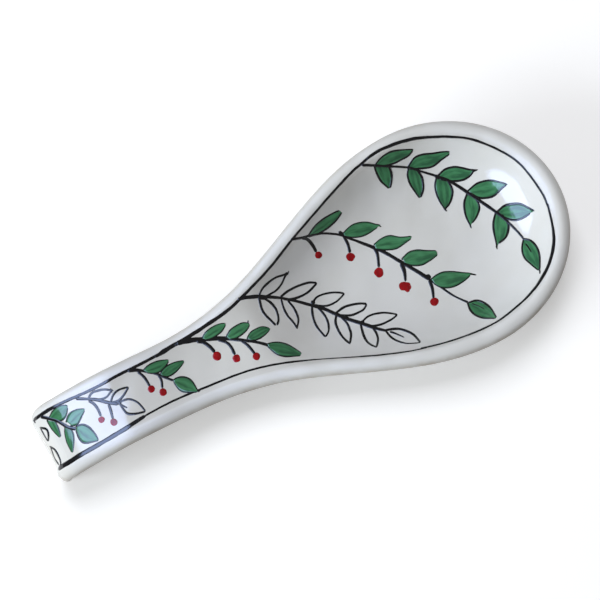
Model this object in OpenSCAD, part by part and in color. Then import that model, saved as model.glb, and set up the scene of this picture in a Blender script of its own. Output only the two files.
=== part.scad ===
// Spoon rest in glazed stoneware: a pear-shaped bowl with a rolled rim runs up through a dished
// neck into an arched handle, whose end turns down to stand on the table.
// Millimetres. X runs along the piece from the handle's end to the bowl's tip, Z is up, and the
// origin is on the table under the middle of the length.

/* [Plan] */
// Length from the turned-down end to the bowl's tip
body_l = 242.5; // [215:0.5:280]
// Width across the bowl
bowl_w = 102; // [86:1:120]
// Length of the bowl's rounded front, from its widest place to its tip
front_l = 55.5; // [48:0.5:70]
// Width of the handle
handle_w = 33.4; // [28:0.2:40]
// Distance from the end to where the sides begin to open out
neck_x = 63; // [55:1:80]
// How late the sides open out, 1 being an even S-curve
neck_skew = 1.05; // [0.9:0.01:1.3]

/* [Heights] */
// Height of the handle's crest
crest_h = 26; // [23:0.5:30]
// Height of the rim at its lowest, where the handle runs into the bowl
neck_h = 20; // [17:0.5:24]
// Distance from the end to that lowest place
low_x = 75; // [68:1:100]
// Height of the rim at the bowl's tip
rim_h = 23.5; // [20:0.5:28]
// Thickness of the bowl's floor and of the handle, glaze included
wall_t = 5.5; // [4.5:0.5:8]
// Depth of the handle's panel below its rim
handle_dish = 1.2; // [0.6:0.1:3]
// Distance from the end to where the panel begins to dip into the bowl
dip_x = 95; // [88:1:108]
// Distance from the end to where it reaches the bowl's full depth
full_x = 131; // [122:1:150]

/* [Turned-down end] */
// Outer radius of the turned-down end
curl_r = 10; // [9:0.5:14]
// Radius of the handle's long arch
arch_r = 108; // [90:1:120]
// Slope at which the turn runs into the arch, in degrees
curl_slope = 14.5; // [12:0.5:18]
// How much each side draws in at the standing edge
end_taper = 3.5; // [0:0.5:5]

/* [Rim] */
// Width of the rolled rim
bead_w = 8; // [6:0.5:10]
// Height of the rim's upper half
bead_up = 3; // [2:0.5:4]
// Height of the rim's lower half
bead_down = 3.4; // [2.5:0.1:4.5]
// Steepness of the bowl's inner wall at the rim, in degrees
bowl_wall_a = 55; // [35:1:58]
// Distance from the end to where the inner wall reaches that steepness
steep_x = 118; // [112:1:142]
// Steepness of the handle's inner edge, in degrees
handle_wall_a = 14; // [8:1:20]
// Steepness of the bowl's outer wall at the rim, in degrees
bowl_under_a = 46; // [38:1:52]
// Steepness of the handle's underside at its edge, in degrees
handle_under_a = 4; // [2:1:10]

/* [Foot and glaze] */
// Gap between the table and the glazed underside beside the foot
foot_lift = 0.5; // [0.3:0.1:1.5]
// Width of the small bevel round the foot
foot_edge = 0.6; // [0.3:0.1:1]
// Thickness of the glaze
glaze_t = 0.5; // [0.3:0.1:0.8]
// Height above the table at which the glaze stops on the handle's end
glaze_stop_h = 1.4; // [1:0.1:3]

/* [Brushwork] */
// Width of the border line
line_w = 1.3; // [0.8:0.1:2]
// Distance from the outer edge to the border line's middle on the handle
line_handle_inset = 6.4; // [5:0.1:8]
// The same beside the bowl
line_inset = 6.8; // [6:0.1:8]
// The same at the bowl's tip
line_tip_inset = 8.2; // [6:0.1:9]
// How far the line's loop in the bowl sits off centre, towards the far side
line_shift = 0.8; // [0:0.1:1.5]
// Width of a stem where it leaves the border line
stem_w = 1.4; // [0.8:0.1:2]
// Width of a berry's stalk and of a leaf's outline
stroke_w = 0.8; // [0.5:0.1:1.2]
// Length of a leaf in the bowl
bowl_leaf_l = 16.5; // [12:0.5:20]
// Length of a leaf on the neck
neck_leaf_l = 12; // [9:0.5:15]
// Length of a leaf on the handle
handle_leaf_l = 10; // [8:0.5:13]
// Distance from a stem to the middle of a berry in the bowl and on the neck
stalk_l = 9.5; // [8:0.5:11]
// Diameter of a berry in the bowl
bowl_berry_d = 4; // [3:0.2:5]
// Diameter of a berry on the neck and the handle
small_berry_d = 3.2; // [2.4:0.2:4]

/* [Hidden] */

// Thickness of the paint, and how far it lies over the flat faces that the glaze is built from, so
// that its own straight pieces clear them where the glaze bulges
paint_t = 0.2;
paint_lift = 0.14;
// Gap that keeps one colour's brushwork off another's
paint_gap = 0.15;

// Size of the foot as a share of the bowl
foot_share = 0.56;

// The crest line of the rim, seen from the side: straight up from the table, round the turned-down
// end, along the arch to the crest, then gently down to the bowl. Places on it are given by the
// run, which is the distance walked along it from the table.
turn = 180;
quarter = turn / 2;
stand_run = crest_h - curl_r * cos(curl_slope) - arch_r * (1 - cos(curl_slope));
curl_run = stand_run + curl_r * (quarter - curl_slope) * PI / turn;
crest_run = curl_run + arch_r * curl_slope * PI / turn;
curl_x = curl_r * (1 - sin(curl_slope));
crest_x = curl_x + arch_r * sin(curl_slope);
bowl_x = body_l - front_l;
bowl_run = crest_run + bowl_x - crest_x;
low_run = crest_run + low_x - crest_x;
foot_l = foot_share * front_l;
foot_w = foot_share * bowl_w;

function ease(t) = (1 - cos(turn * min(1, max(0, t)))) / 2;
function between(low, high, value) = min(high, max(low, value));

function run_of(x) = crest_run + x - crest_x;

function run_angle(run) =
    run < stand_run ? quarter :
    run < curl_run ? quarter - (run - stand_run) / curl_r * turn / PI :
    run < crest_run ? curl_slope - (run - curl_run) / arch_r * turn / PI :
    0;

function run_x(run) =
    run < stand_run ? 0 :
    run < curl_run ? curl_r * (1 - sin(run_angle(run))) :
    run < crest_run ? curl_x + arch_r * (sin(curl_slope) - sin(run_angle(run))) :
    crest_x + run - crest_run;

function run_z(run) =
    run < stand_run ? run :
    run < curl_run ? stand_run + curl_r * cos(run_angle(run)) :
    run < crest_run ? crest_h - arch_r * (1 - cos(run_angle(run))) :
    run < low_run ? crest_h - (crest_h - neck_h) * ease((run - crest_run) / (low_run - crest_run)) :
    neck_h + (rim_h - neck_h) * ease((run - low_run) / (bowl_run + front_l - low_run));

// A place on the piece: run along it, distance y beside the middle line, height above the crest line
function place(run, y, height) =
    let (a = run_angle(run))
    [run_x(run) - sin(a) * height - body_l / 2, y, run_z(run) + cos(a) * height];

// Half the width at a distance x from the end
function half_w(x) =
    handle_w / 2 + (bowl_w - handle_w) / 2 * ease(pow(max(0, (x - neck_x) / (bowl_x - neck_x)), neck_skew));

// How far the handle has turned into the bowl at a run: 0 on the handle, 1 in the bowl
function bowl_share(run) = ease((run_x(run) - dip_x) / (full_x - dip_x));
function mixed(run, handle_value, bowl_value) =
    handle_value + (bowl_value - handle_value) * bowl_share(run);

// How far the inner wall has steepened at a run, which it does before the floor is at its full depth
function steep_share(run) = ease((run_x(run) - dip_x) / (steep_x - dip_x));

// Stations are the cross-sections. Each is [run, turn of the section about the bowl's centre]:
// square to the middle line up to the bowl's widest place, then fanned round its front.
foot_start_run = run_of(bowl_x - foot_l);
longest_dip_gap = 7.5;
curl_steps = 7;
arch_steps = 4;
panel_steps = 4;
dip_steps = ceil((foot_start_run - run_of(dip_x)) / longest_dip_gap);
foot_steps = 5;
front_steps = 11;
stations = [
    for (k = [0 : curl_steps - 1]) [glaze_stop_h + (curl_run - glaze_stop_h) * k / curl_steps, quarter],
    for (k = [0 : arch_steps - 1]) [curl_run + (crest_run - curl_run) * k / arch_steps, quarter],
    for (k = [0 : panel_steps - 1]) [crest_run + (run_of(dip_x) - crest_run) * k / panel_steps, quarter],
    for (k = [0 : dip_steps - 1])
        [run_of(dip_x) + (foot_start_run - run_of(dip_x)) * k / dip_steps, quarter],
    for (k = [0 : foot_steps - 1]) [bowl_run - foot_l * cos(quarter * k / foot_steps), quarter],
    for (k = [0 : front_steps]) [bowl_run, quarter * (1 - k / front_steps)]
];
station_count = len(stations);
foot_start = curl_steps + arch_steps + panel_steps + dip_steps;
front_start = foot_start + foot_steps;

// Distance from the middle to the outer edge along a station, and to the foot's edge
function front_reach(a) = norm([front_l * cos(a), bowl_w / 2 * sin(a)]);
function reach(s) =
    s[1] < quarter ? front_reach(s[1]) :
    half_w(run_x(s[0])) - end_taper * pow(max(0, 1 - s[0] / curl_run), 2);
function foot_reach(s) =
    s[1] < quarter ? foot_share * front_reach(s[1]) :
    foot_w / 2 * sqrt(max(0, 1 - pow(min(1, (bowl_run - s[0]) / foot_l), 2)));

// A place on a station, at a distance d from the middle, on the far side (+1) or the near one (-1)
function on_station(s, side, d, height) =
    let (
        away = s[1] < quarter ? [front_l * cos(s[1]), bowl_w / 2 * sin(s[1])] / front_reach(s[1]) : [0, 1],
        run = s[0] + away[0] * d,
        held_back = (run_z(run) - run_z(s[0])) * (1 - pow(d / reach(s), 2))
    )
    place(run, side * away[1] * d, height - held_back);

// One cross-section as [distance from the middle, height] points: across the dished top, round the
// rolled rim and back along the underside to the foot. The walls are power curves that leave the
// rim at its own slope. inset draws the same section deeper in, which is the clay under the glaze.
top_shares = [0, 0.3, 0.52, 0.7, 0.86];
under_shares = [0.84, 0.64, 0.44, 0.22, 0];
rim_inner_steps = 2;
rim_outer_steps = 3;
rim_lower_steps = 2;
flattest_power = 1.3;
fullest_power = 6;
ring_count = len(top_shares) + rim_inner_steps + rim_outer_steps + 1 + rim_lower_steps + len(under_shares);

// The dished top of a station: [height in the middle, distance to the rim's inner side, rise to it,
// power of the curve, angle round the rim at which the two meet]
function top_curve(s, inset) =
    let (
        wide = bead_w / 2 - inset,
        up = bead_up - inset,
        wall_a = handle_wall_a + (bowl_wall_a - handle_wall_a) * steep_share(s[0]),
        top_h = -mixed(s[0], handle_dish, run_z(s[0]) - wall_t - foot_lift) - inset,
        inner_t = atan(wide / up * tan(wall_a)),
        inner_d = reach(s) - bead_w / 2 - wide * sin(inner_t),
        inner_rise = -bead_up + up * cos(inner_t) - top_h,
        power = between(flattest_power, fullest_power, tan(wall_a) * inner_d / inner_rise)
    )
    [top_h, inner_d, inner_rise, power, inner_t];

// Height of the glazed top over the crest line at a distance d from the middle
function top_height(s, d) =
    let (top = top_curve(s, 0), over_rim = (d - reach(s) + bead_w / 2) / (bead_w / 2))
    d < top[1] ? top[0] + top[2] * pow(d / top[1], top[3]) :
    -bead_up + bead_up * sqrt(max(0, 1 - over_rim * over_rim));

function section(s, inset) =
    let (
        wide = bead_w / 2 - inset,
        up = bead_up - inset,
        down = bead_down - inset,
        rim_d = reach(s) - bead_w / 2,
        top = top_curve(s, inset),
        inner_t = top[4],
        under_a = mixed(s[0], handle_under_a, bowl_under_a),
        under_h = top[0] - wall_t + 2 * inset,
        outer_t = atan(wide / down * tan(under_a)),
        outer_d = rim_d + wide * sin(outer_t),
        outer_rise = -bead_up - down * cos(outer_t) - under_h,
        under_power = outer_rise <= 0 ? 2 :
            between(flattest_power, fullest_power, tan(under_a) * outer_d / outer_rise),
        foot_d = foot_reach(s)
    )
    [
        for (share = top_shares) [top[1] * share, top[0] + top[2] * pow(share, top[3])],
        for (k = [0 : rim_inner_steps - 1])
            let (t = inner_t * (k / rim_inner_steps - 1))
            [rim_d + wide * sin(t), -bead_up + up * cos(t)],
        for (k = [0 : rim_outer_steps])
            let (t = quarter * k / rim_outer_steps)
            [rim_d + wide * sin(t), -bead_up + up * cos(t)],
        for (k = [1 : rim_lower_steps])
            let (t = quarter + (quarter - outer_t) * k / rim_lower_steps)
            [rim_d + wide * sin(t), -bead_up + down * cos(t)],
        for (share = under_shares)
            let (d = foot_d + (outer_d - foot_d) * share)
            [d, under_h + outer_rise * pow(d / outer_d, under_power)]
    ];

// The whole skin as points, station by station, first for the far side and then for the near one
function skin_points(inset) = [
    for (side = [1, -1], s = stations)
        let (points = section(s, inset))
        for (p = points) on_station(s, side, p[0], p[1])
];

// Index of a skin point. Both sides share the middle line and the tip, and the stations that fan
// round the front share the bowl's centre.
function skin_id(side, i, j) =
    let (
        shared = i == station_count - 1 || j == 0 || (j == ring_count - 1 && i <= foot_start),
        station = j == 0 ? min(i, front_start) : i
    )
    ((shared ? 0 : side) * station_count + station) * ring_count + j;

function turned(face, flip) = flip ? [for (k = [len(face) - 1 : -1 : 0]) face[k]] : face;
function whole(face) = face[0] != face[1] && face[1] != face[2] && face[2] != face[0];
function moved(faces, by) = [for (f = faces) [for (v = f) v + by]];

// Two triangles between two pairs of neighbouring points
function patch(a, b, c, d, flip) = [for (f = [[a, c, b], [a, d, c]]) if (whole(f)) turned(f, flip)];

function skin_faces(inward) = [
    for (side = [0, 1], i = [0 : station_count - 2], j = [0 : ring_count - 2])
        let (
            near = [skin_id(side, i, j), skin_id(side, i, j + 1)],
            next = [skin_id(side, i + 1, j), skin_id(side, i + 1, j + 1)]
        )
        each patch(near[0], next[0], next[1], near[1], (side == 1) != inward)
];

// The loop of skin points round the handle's end, and the loop round the foot
end_loop = [
    for (j = [0 : ring_count - 1]) skin_id(0, 0, j),
    for (j = [ring_count - 2 : -1 : 1]) skin_id(1, 0, j)
];
foot_loop = [
    for (i = [foot_start : station_count - 1]) skin_id(0, i, ring_count - 1),
    for (i = [station_count - 2 : -1 : foot_start + 1]) skin_id(1, i, ring_count - 1)
];

// A band of triangles between two loops of as many points
function band(first, second, flip) = [
    for (k = [0 : len(first) - 1])
        let (n = (k + 1) % len(first))
        each patch(first[k], first[n], second[n], second[k], flip)
];
function count_from(start, n) = [for (k = [0 : n - 1]) start + k];

// The fired clay: the skin under the glaze, closed by the standing edge of the handle's end and by
// the dry foot under the bowl
module clay_body() {
    skin = skin_points(glaze_t);
    end_points = [for (v = end_loop) skin[v]];
    end_middle = [(skin[end_loop[0]][0] + skin[end_loop[ring_count - 1]][0]) / 2, 0];
    end_shrink = 1 - foot_edge / (wall_t / 2);
    end_narrow = 1 - foot_edge / (handle_w / 2);
    end_upper = [for (p = end_points) [p[0], p[1], foot_edge]];
    end_lower = [for (p = end_points)
        [end_middle[0] + (p[0] - end_middle[0]) * end_shrink, p[1] * end_narrow, 0]];

    foot_points = [for (v = foot_loop) skin[v]];
    foot_middle = bowl_x - body_l / 2;
    foot_narrow = 1 - foot_edge / (foot_w / 2);
    foot_upper = [for (p = foot_points) [p[0], p[1], foot_edge]];
    foot_lower = [for (p = foot_points)
        [foot_middle + (p[0] - foot_middle) * foot_narrow, p[1] * foot_narrow, 0]];

    e = len(end_loop);
    f = len(foot_loop);
    at_end_upper = len(skin);
    at_end_lower = at_end_upper + e;
    at_foot_upper = at_end_lower + e;
    at_foot_lower = at_foot_upper + f;
    color("tan")
        polyhedron(
            points = concat(skin, end_upper, end_lower, foot_upper, foot_lower),
            faces = concat(
                skin_faces(false),
                band(end_loop, count_from(at_end_upper, e), false),
                band(count_from(at_end_upper, e), count_from(at_end_lower, e), false),
                [turned(count_from(at_end_lower, e), true)],
                band(foot_loop, count_from(at_foot_upper, f), false),
                band(count_from(at_foot_upper, f), count_from(at_foot_lower, f), false),
                [turned(count_from(at_foot_lower, f), true)]
            ),
            convexity = 6);
}

// The glaze: the outer skin and the clay's own skin, joined round the handle's end and the foot
module glaze_coat() {
    outer = skin_points(0);
    inner = skin_points(glaze_t);
    n = len(outer);
    color("ghostwhite")
        polyhedron(
            points = concat(outer, inner),
            faces = concat(
                skin_faces(false),
                moved(skin_faces(true), n),
                band(end_loop, [for (v = end_loop) v + n], false),
                band(foot_loop, [for (v = foot_loop) v + n], false)
            ),
            convexity = 10);
}

// Brushwork. A spot is [run, distance beside the middle line]; a share spot gives them as shares of
// the whole run and of the half width there, so the sprigs follow the shape that they are painted on.
whole_run = bowl_run + front_l;
function spot(share_spot) =
    let (run = share_spot[0] * whole_run)
    [run, share_spot[1] * (run < bowl_run ? half_w(run_x(run)) : bowl_w / 2)];

// Where the glaze is hollow, its flat faces stand a little over the drawn curve: between two rings
// across a station, between two stations along the run, and between two that fan round the front
function step_at(marks, value) = [
    for (k = [0 : len(marks) - 2])
        if (marks[k] <= value && value < marks[k + 1]) k
];
function chord(a, b, at_a, at_b, value) = at_a + (at_b - at_a) * (value - a) / (b - a);
square_runs = [for (s = stations) if (s[1] == quarter) s[0]];
function ring_rise(s, d) =
    let (inner_d = top_curve(s, 0)[1], marks = [for (share = top_shares) inner_d * share, inner_d])
    max([0, for (k = step_at(marks, d))
        let (a = marks[k], b = marks[k + 1])
        chord(a, b, top_height(s, a), top_height(s, b), d) - top_height(s, d)]);
function top_z(run, d) = run_z(run) + top_height([run, quarter], d);
function run_rise(run, d) =
    max([0, for (k = step_at(square_runs, run))
        let (a = square_runs[k], b = square_runs[k + 1])
        chord(a, b, top_z(a, d), top_z(b, d), run) - top_z(run, d)]);
function fan_rise(s, d) =
    max(0, top_height(s, d / cos(quarter / front_steps / 2)) - top_height(s, d));

// The point over the glaze at a spot, on the paint's lower side or (level 1) its upper one
function on_glaze(spot, level) =
    let (
        in_front = spot[0] > bowl_run,
        side = spot[1] < 0 ? -1 : 1,
        beside = abs(spot[1]),
        ahead = spot[0] - bowl_run,
        s = in_front ? [bowl_run, atan2(beside / (bowl_w / 2), ahead / front_l)] : [spot[0], quarter],
        d = in_front ? norm([ahead, beside]) : beside,
        rise = ring_rise(s, d) + (in_front ? fan_rise(s, d) : run_rise(s[0], d))
    )
    on_station(s, side, d, top_height(s, d) + rise + paint_lift + level * paint_t);

// A stroke of paint between two rows of spots, its left and its right edge
module stroke(left, right) {
    n = len(left);
    points = [
        for (k = [0 : n - 1])
            each [on_glaze(left[k], 0), on_glaze(right[k], 0), on_glaze(right[k], 1), on_glaze(left[k], 1)]
    ];
    last = 4 * (n - 1);
    polyhedron(
        points = points,
        faces = concat(
            [[0, 3, 2], [0, 2, 1], [last, last + 1, last + 2], [last, last + 2, last + 3]],
            [
                for (k = [0 : n - 2], j = [0 : 3])
                    let (a = 4 * k + j, b = 4 * k + (j + 1) % 4)
                    each [[a, b, b + 4], [a, b + 4, a + 4]]
            ]
        ),
        convexity = 4);
}

// A stroke along a row of spots, whose width goes from first_w to last_w
function across(a, b) = let (v = b - a) [-v[1], v[0]] / norm(v);
module brushed(spots, first_w, last_w) {
    n = len(spots) - 1;
    sideways = [for (k = [0 : n]) across(spots[max(0, k - 1)], spots[min(n, k + 1)])];
    half = [for (k = [0 : n]) (first_w + (last_w - first_w) * k / n) / 2];
    left = [for (k = [0 : n]) spots[k] + sideways[k] * half[k]];
    right = [for (k = [0 : n]) spots[k] - sideways[k] * half[k]];
    stroke(left, right);
}

// The border line's spot beside a station
function line_spot(s, side, off) =
    let (
        side_inset = mixed(s[0], line_handle_inset, line_inset),
        inset = side_inset + (line_tip_inset - line_inset) * pow(cos(s[1]), 2),
        d = reach(s) - inset + off
    )
    s[1] < quarter ?
        [bowl_run + d * front_l * cos(s[1]) / front_reach(s[1]),
            side * d * bowl_w / 2 * sin(s[1]) / front_reach(s[1]) + line_shift * sin(s[1])] :
        [s[0], side * d + line_shift * ease(run_x(s[0]) / neck_x)];

// Each sprig is [start, pull, end, leaf length, first and last leaf along the stem, upper leaves and
// how far they lean out, lower leaves and how far they lean out, berries, filled]. Its stem is a
// smooth curve from start to end that leans towards pull, all as share spots.
bowl = bowl_leaf_l;
neck = neck_leaf_l;
handle = handle_leaf_l;
sprigs_share = [
    [[0.745, 0.83], [0.872, 0.61], [0.908, -0.29], bowl, [0.08, 0.78], [5, 24], [5, 50], 0, true],
    [[0.582, 0.78], [0.73, 0.38], [0.776, -0.55], bowl, [0.1, 0.8], [5, 38], [0, 0], 5, true],
    [[0.464, 0.66], [0.56, 0.23], [0.634, -0.5], bowl, [0.13, 0.83], [5, 34], [5, 54], 0, false],
    [[0.344, 0.6], [0.405, 0.42], [0.456, -0.24], neck, [0.23, 0.78], [3, 35], [0, 0], 3, true],
    [[0.256, 0.53], [0.278, 0.43], [0.299, -0.06], handle, [0.27, 0.66], [2, 34], [0, 0], 2, true],
    [[0.158, 0.52], [0.184, 0.34], [0.205, 0.02], handle, [0.34, 0.7], [2, 38], [0, 0], 2, false],
    [[0.092, 0.6], [0.108, 0.48], [0.129, 0.02], handle, [0.2, 0.74], [2, 46], [2, 46], 0, true]
];
// Two leaves on the turned-down end, each from base to tip
end_leaves_share = [[[0.07, 0.45], [0.073, 0.08]], [[0.077, -0.04], [0.084, -0.5]]];
tip_angle = 9;
stem_steps = 6;
stalk_steps = 3;
leaf_wide_share = 0.38;
leaf_half_shares = [0, 0.8, 1, 0.72, 0];
stem_end_share = 0.55;

function bend(a, b, c, t) = a * pow(1 - t, 2) + b * 2 * t * (1 - t) + c * pow(t, 2);
function stem_spot(sprig, t) = bend(spot(sprig[0]), spot(sprig[1]), spot(sprig[2]), t);
function stem_angle(sprig, t) =
    let (v = stem_spot(sprig, t + 0.01) - stem_spot(sprig, t - 0.01))
    atan2(v[1], v[0]);
function leaf_t(sprig, k, n) = sprig[4][0] + (sprig[4][1] - sprig[4][0]) * k / (n - 1);
function towards(a, angle, far) = a + far * [cos(angle), sin(angle)];

// Every leaf of a sprig as [base, angle, length], clear of the stem that it grows from
base_gap = stem_w / 2 + paint_gap;
function leaves(sprig) = [
    for (row = [[1, sprig[5]], [-1, sprig[6]]])
        if (row[1][0] > 0) for (k = [0 : row[1][0] - 1])
            let (t = leaf_t(sprig, k, row[1][0]), angle = stem_angle(sprig, t))
            [
                towards(stem_spot(sprig, t), angle + row[0] * quarter, base_gap),
                angle + row[0] * row[1][1],
                sprig[3]
            ],
    let (angle = stem_angle(sprig, 1))
        [towards(stem_spot(sprig, 1), angle, paint_gap), angle - tip_angle, sprig[3]]
];
end_leaves = [
    for (pair = end_leaves_share)
        let (a = spot(pair[0]), v = spot(pair[1]) - a)
        [a, atan2(v[1], v[0]), norm(v)]
];
all_leaves = concat([for (sprig = sprigs_share) each leaves(sprig)], end_leaves);
filled_leaves = [for (sprig = sprigs_share) if (sprig[8]) each leaves(sprig)];

// The two edges of a leaf, drawn in by a margin all round
function leaf_edge(leaf, margin, side) = [
    for (k = [0 : 4])
        let (
            along = margin * 2 + (leaf[2] - margin * 4) * k / 4,
            beside = (leaf[2] * leaf_wide_share / 2 - margin) * leaf_half_shares[k] * side
        )
        towards(towards(leaf[0], leaf[1], along), leaf[1] + quarter, beside)
];

// A leaf's outline: the ring between its edge and the same edge drawn in by the stroke's width
module outline(leaf) {
    outer = concat(leaf_edge(leaf, 0, 1), [for (k = [3 : -1 : 1]) leaf_edge(leaf, 0, -1)[k]]);
    inner = concat(leaf_edge(leaf, stroke_w, 1), [for (k = [3 : -1 : 1]) leaf_edge(leaf, stroke_w, -1)[k]]);
    points = [
        for (k = [0 : 7])
            each [on_glaze(outer[k], 0), on_glaze(inner[k], 0), on_glaze(inner[k], 1), on_glaze(outer[k], 1)]
    ];
    polyhedron(
        points = points,
        faces = [
            for (k = [0 : 7], j = [0 : 3])
                let (i = (j + 1) % 4, m = 4 * ((k + 1) % 8), a = 4 * k + j, b = 4 * k + i)
                each [[a, b, m + i], [a, m + i, m + j]]
        ],
        convexity = 4);
}

// A flat pad of paint whose rim is a ring of spots
module pad(ring) {
    n = len(ring);
    halves = [
        for (k = [1 : n / 2 - 1])
            each [[k, k + 1, n - k], if (k + 1 < n - k) [k + 1, n - k - 1, n - k]]
    ];
    polyhedron(
        points = concat([for (p = ring) on_glaze(p, 0)], [for (p = ring) on_glaze(p, 1)]),
        faces = concat(
            [[0, n - 1, 1], [n, n + 1, n + n - 1]],
            [for (f = halves) turned(f, true)],
            moved(halves, n),
            [for (k = [0 : n - 1]) let (m = (k + 1) % n) each [[k, n + m, n + k], [k, m, n + m]]]
        ),
        convexity = 4);
}

module border_line() {
    drawn = [for (i = [2 : station_count - 1]) stations[i]];
    loop = concat([for (s = drawn) [s, 1]], [for (k = [len(drawn) - 2 : -1 : 0]) [drawn[k], -1]]);
    color("black")
        stroke(
            [for (p = loop) line_spot(p[0], p[1], line_w / 2)],
            [for (p = loop) line_spot(p[0], p[1], -line_w / 2)]);
}

// The berries hang on bent stalks on the stem's lower side. On the handle the stalks are a share of
// the half width between the border lines.
function stalk(sprig) =
    sprig[3] == handle_leaf_l ? handle_stalk_share * (handle_w / 2 - line_handle_inset) : stalk_l;
function berry_d(sprig) = sprig[3] == bowl_leaf_l ? bowl_berry_d : small_berry_d;
function berry_middle(sprig, k) =
    let (t = leaf_t(sprig, k, sprig[7]))
    towards(stem_spot(sprig, t), stem_angle(sprig, t) - stalk_angle, stalk(sprig));
stalk_angle = 60;
handle_stalk_share = 0.92;
stalk_bow_share = 0.12;

module sprig_stems() {
    color("black") {
        for (sprig = sprigs_share) {
            stem = [for (k = [0 : stem_steps]) stem_spot(sprig, k / stem_steps)];
            brushed(stem, stem_w, stem_w * stem_end_share);
            if (sprig[7] > 0) for (k = [0 : sprig[7] - 1]) {
                t = leaf_t(sprig, k, sprig[7]);
                middle = berry_middle(sprig, k);
                from = stem_spot(sprig, t);
                v = (middle - from) / norm(middle - from);
                a = from + v * base_gap;
                b = middle - v * (berry_d(sprig) / 2 + paint_gap);
                bow = (a + b) / 2 + [-v[1], v[0]] * norm(b - a) * stalk_bow_share;
                brushed([for (j = [0 : stalk_steps]) bend(a, bow, b, j / stalk_steps)], stroke_w, stroke_w);
            }
        }
    }
}

module leaf_outlines() {
    color("black")
        for (leaf = all_leaves) outline(leaf);
}

module green_leaves() {
    color("seagreen")
        for (leaf = filled_leaves)
            pad(concat(
                leaf_edge(leaf, stroke_w + paint_gap, 1),
                [for (k = [3 : -1 : 1]) leaf_edge(leaf, stroke_w + paint_gap, -1)[k]]));
}

module red_berries() {
    berry_sides = 8;
    color("darkred")
        for (sprig = sprigs_share)
            if (sprig[7] > 0) for (k = [0 : sprig[7] - 1])
                pad([
                    for (j = [0 : berry_sides - 1])
                        towards(berry_middle(sprig, k), -turn * 2 * j / berry_sides, berry_d(sprig) / 2)
                ]);
}

clay_body();
glaze_coat();
border_line();
sprig_stems();
leaf_outlines();
green_leaves();
red_berries();
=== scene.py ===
import math
import random

import bmesh
import bpy
from mathutils import Matrix, Vector, noise
from mathutils.bvhtree import BVHTree


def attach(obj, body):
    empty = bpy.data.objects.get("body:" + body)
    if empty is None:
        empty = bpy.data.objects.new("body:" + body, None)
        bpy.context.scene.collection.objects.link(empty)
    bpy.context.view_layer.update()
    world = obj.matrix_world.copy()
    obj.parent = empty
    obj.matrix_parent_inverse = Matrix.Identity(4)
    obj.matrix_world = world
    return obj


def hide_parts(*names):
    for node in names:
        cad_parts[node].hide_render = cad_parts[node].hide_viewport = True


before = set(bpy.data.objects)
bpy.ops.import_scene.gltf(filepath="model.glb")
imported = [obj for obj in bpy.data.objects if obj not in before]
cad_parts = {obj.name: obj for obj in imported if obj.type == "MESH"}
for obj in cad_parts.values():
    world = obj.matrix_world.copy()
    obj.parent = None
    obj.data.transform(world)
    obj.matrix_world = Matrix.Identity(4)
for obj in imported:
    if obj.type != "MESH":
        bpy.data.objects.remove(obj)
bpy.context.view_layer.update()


# ---- The fired clay ----
# The body of the spoon rest is one casting of pale stoneware, trimmed and sponged by hand. It is
# bare only where it stands: under the bowl's foot and along the edge of the handle's end.

weld = 1e-6
clay_corner = math.radians(35)
quad_angle = math.radians(60)
rounding_levels = 2
clay_pale = (0.56, 0.47, 0.37, 1)
clay_dark = (0.40, 0.31, 0.23, 1)
clay_tones = [(0.35, clay_dark), (0.62, clay_pale)]
clay_roughness = 0.82
# Each noise: how many lumps to the metre, and how much detail
clay_grain = (900, 4)
clay_grog = (320, 3)
clay_bump = 0.5
clay_bump_depth = 0.0002


def smooth_pottery(node, name, corner):
    """A copy of a solid with its triangles joined to quads and rounded, and its corners kept."""
    shape = bmesh.new()
    shape.from_mesh(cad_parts[node].data)
    bmesh.ops.remove_doubles(shape, verts=shape.verts, dist=weld)
    bmesh.ops.join_triangles(
        shape, faces=shape.faces,
        angle_face_threshold=quad_angle, angle_shape_threshold=quad_angle,
    )
    crease = shape.edges.layers.float.new("crease_edge")
    for edge in shape.edges:
        if len(edge.link_faces) == 2 and edge.calc_face_angle() > corner:
            edge[crease] = 1
    for face in shape.faces:
        face.smooth = True
    coarse = bpy.data.meshes.new(name + "_coarse")
    shape.to_mesh(coarse)
    shape.free()
    piece = bpy.data.objects.new(name, coarse)
    bpy.context.collection.objects.link(piece)
    rounding = piece.modifiers.new("rounding", "SUBSURF")
    rounding.levels = rounding.render_levels = rounding_levels
    bpy.context.view_layer.update()
    ready = piece.evaluated_get(bpy.context.evaluated_depsgraph_get())
    fine = bpy.data.meshes.new_from_object(ready)
    piece.modifiers.remove(rounding)
    piece.data = fine
    bpy.data.meshes.remove(coarse)
    fine.name = name
    fine.materials.clear()
    fine.set_sharp_from_angle(angle=corner)
    return piece


def new_material(name):
    """A node material, its tree and its surface shader."""
    material = bpy.data.materials.new(name)
    material.use_nodes = True
    tree = material.node_tree
    return material, tree, tree.nodes["Principled BSDF"]


def ramp(tree, factor, stops):
    """A colour ramp with these (place, colour) stops, driven by a socket."""
    node = tree.nodes.new("ShaderNodeValToRGB")
    band = node.color_ramp
    while len(band.elements) < len(stops):
        band.elements.new(0.5)
    for element, (place, colour) in zip(band.elements, stops):
        element.position = place
        element.color = colour
    tree.links.new(factor, node.inputs["Fac"])
    return node.outputs["Color"]


def noise_at(tree, coordinates, scale, detail):
    """The value of a noise texture of this scale, per metre."""
    node = tree.nodes.new("ShaderNodeTexNoise")
    node.inputs["Scale"].default_value = scale
    node.inputs["Detail"].default_value = detail
    tree.links.new(coordinates, node.inputs["Vector"])
    return node.outputs["Fac"]


def object_place(tree):
    """Where a point of the piece lies, in metres."""
    return tree.nodes.new("ShaderNodeTexCoord").outputs["Object"]


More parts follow.
